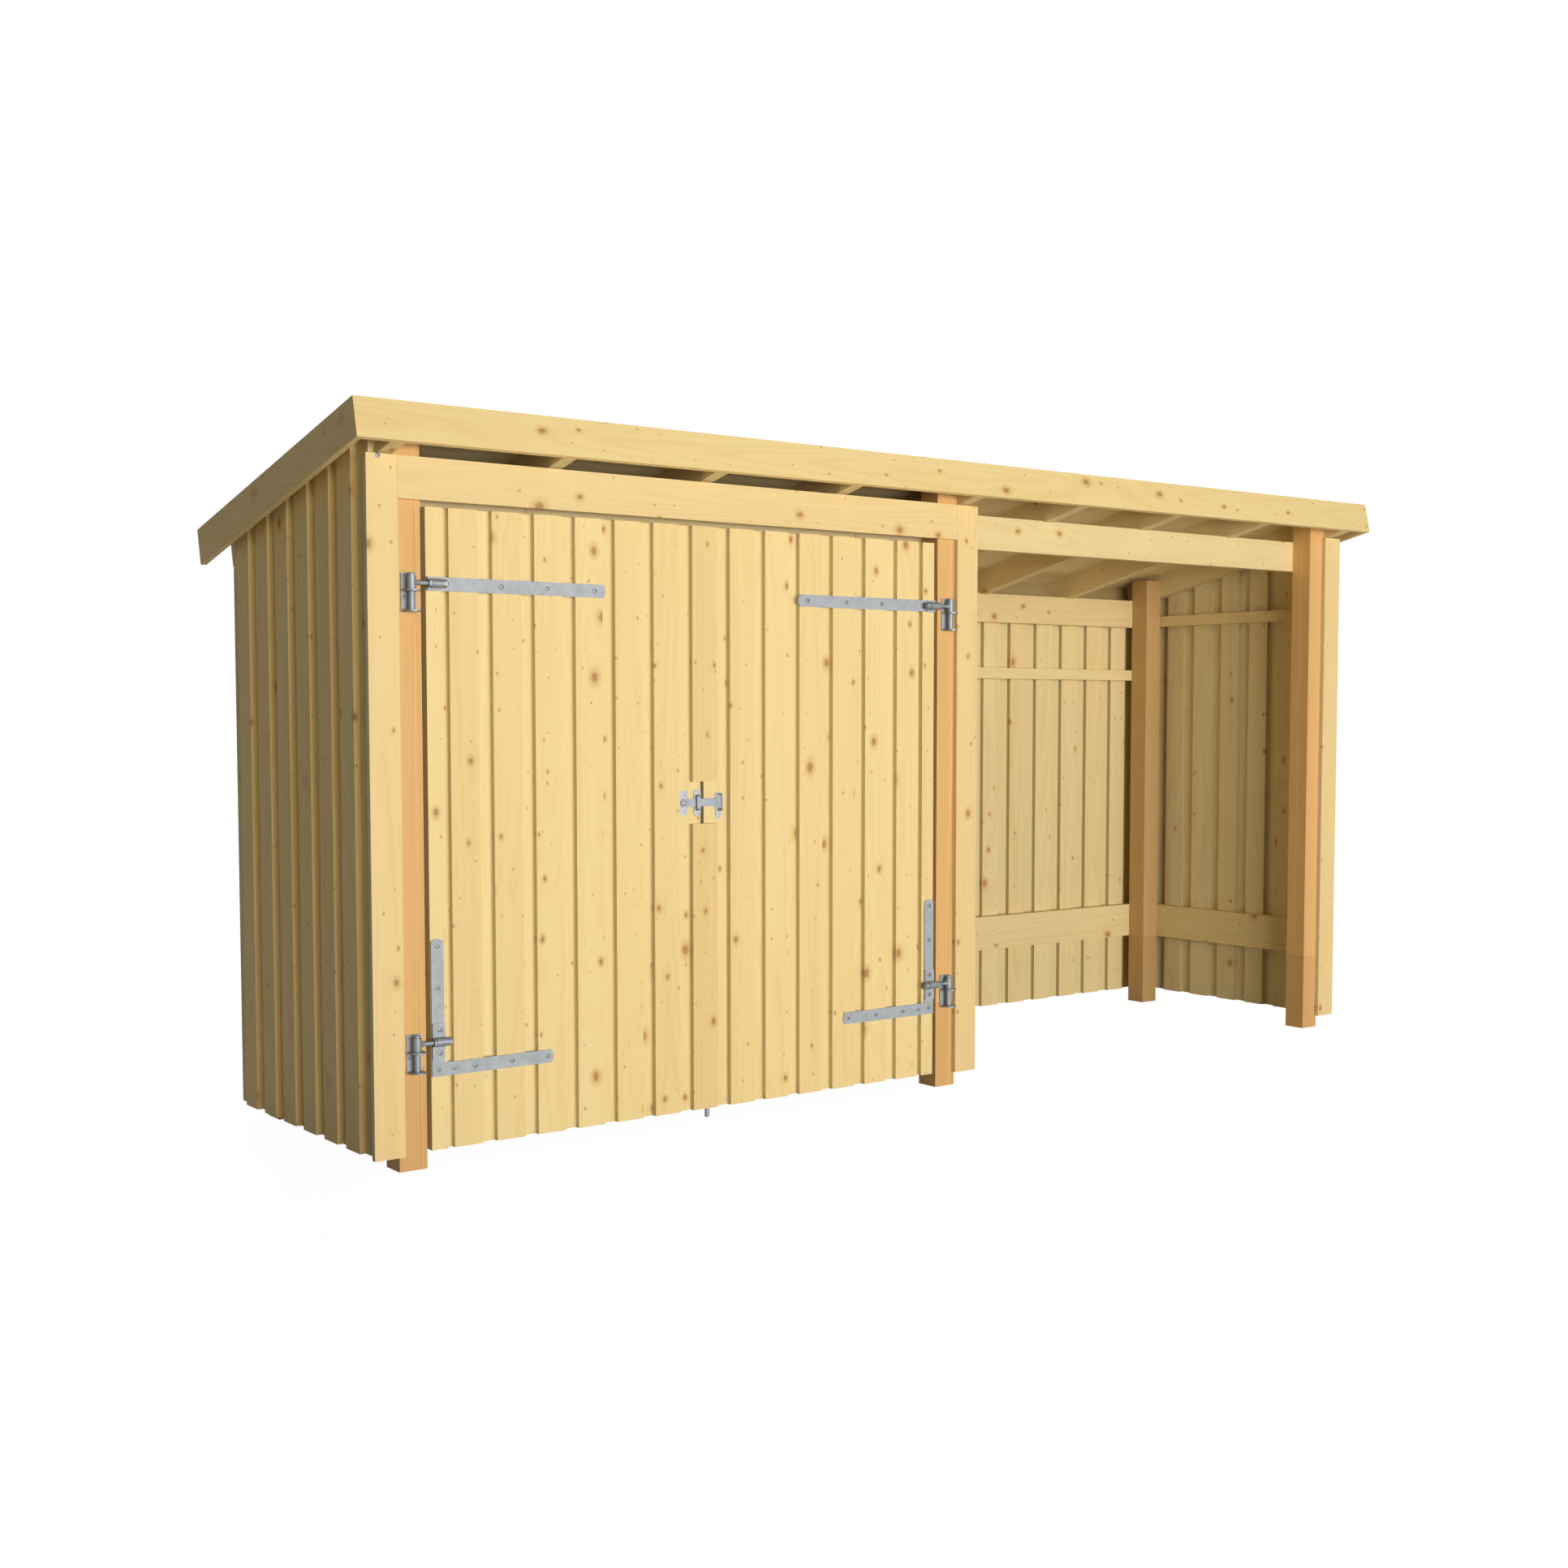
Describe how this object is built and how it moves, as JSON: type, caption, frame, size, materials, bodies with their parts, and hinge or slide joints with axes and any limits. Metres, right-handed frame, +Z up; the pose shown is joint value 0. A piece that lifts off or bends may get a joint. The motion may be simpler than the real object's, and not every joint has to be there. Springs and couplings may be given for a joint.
{
  "type": "garden shed",
  "caption": "Timber lean-to garden shed with a closed store behind ledged double doors and an open-front bay beside it, on square posts.",
  "frame": {"origin": "middle of the bounding box at ground level", "axes": "+X to the right seen from the front, +Y to the back, +Z up"},
  "size_m": [4.635, 1.2644, 2.247],
  "materials": {
    "post_timber": "planed, warm orange-brown",
    "framing_timber": "planed softwood",
    "cladding_timber": "planed knotty spruce",
    "roof_timber": "planed softwood",
    "galvanised_steel": "galvanised, satin"
  },
  "bodies": {
    "frame": {"front_left_post": "post_timber", "front_middle_post": "post_timber", "front_right_post": "post_timber", "rear_left_post": "post_timber", "rear_middle_post": "post_timber", "rear_right_post": "post_timber", "front_beam": "framing_timber", "rear_beam": "framing_timber", "left_wall_rails": "framing_timber", "partition_rails": "framing_timber", "right_wall_rails": "framing_timber", "rear_wall_rails": "framing_timber", "left_wall_inner_boards": "cladding_timber", "left_wall_outer_boards": "cladding_timber", "partition_inner_boards": "cladding_timber", "partition_outer_boards": "cladding_timber", "right_wall_inner_boards": "cladding_timber", "right_wall_outer_boards": "cladding_timber", "rear_wall_inner_boards": "cladding_timber", "rear_wall_outer_boards": "cladding_timber", "left_corner_board": "cladding_timber", "middle_corner_board": "cladding_timber", "right_corner_board": "cladding_timber", "door_header": "cladding_timber", "left_bay_rafters": "framing_timber", "right_bay_rafters": "framing_timber", "roof_deck": "roof_timber", "front_fascia": "roof_timber", "rear_fascia": "roof_timber", "left_barge_board": "roof_timber", "right_barge_board": "roof_timber", "upper_left_bracket": "galvanised_steel", "lower_left_bracket": "galvanised_steel", "upper_right_bracket": "galvanised_steel", "lower_right_bracket": "galvanised_steel"},
    "left_leaf": {"left_leaf_inner_boards": "cladding_timber", "left_leaf_outer_boards": "cladding_timber", "left_leaf_ledges": "framing_timber", "cover_board": "cladding_timber", "upper_left_hinge": "galvanised_steel", "lower_left_hinge": "galvanised_steel", "latch_plates": "galvanised_steel"},
    "right_leaf": {"right_leaf_inner_boards": "cladding_timber", "right_leaf_outer_boards": "cladding_timber", "right_leaf_ledges": "framing_timber", "upper_right_hinge": "galvanised_steel", "lower_right_hinge": "galvanised_steel", "latch_catch": "galvanised_steel", "bolt_guides": "galvanised_steel"},
    "latch": {"latch_bar": "galvanised_steel"},
    "bolt": {"drop_bolt": "galvanised_steel"}
  },
  "joints": [
    {"name": "left_leaf_hinge", "type": "hinge", "parent": "frame", "child": "left_leaf", "pos_m": [-2.111, -0.53731, 1.065], "axis": [0, 0, -1], "range_deg": [0, 110]},
    {"name": "right_leaf_hinge", "type": "hinge", "parent": "frame", "child": "right_leaf", "pos_m": [-0.004, -0.53731, 1.065], "axis": [0, 0, 1], "range_deg": [0, 110]},
    {"name": "latch_lift", "type": "hinge", "parent": "left_leaf", "child": "latch", "pos_m": [-1.1315, -0.50011, 1.065], "axis": [0, -1, 0], "range_deg": [0, 5]},
    {"name": "bolt_lift", "type": "slide", "parent": "right_leaf", "child": "bolt", "axis": [0, 0, 1], "range_m": [0, 0.06]}
  ],
  "couplings": [
    {"joint": "right_leaf_hinge", "follows": "left_leaf_hinge", "ratio": 1}
  ]
}
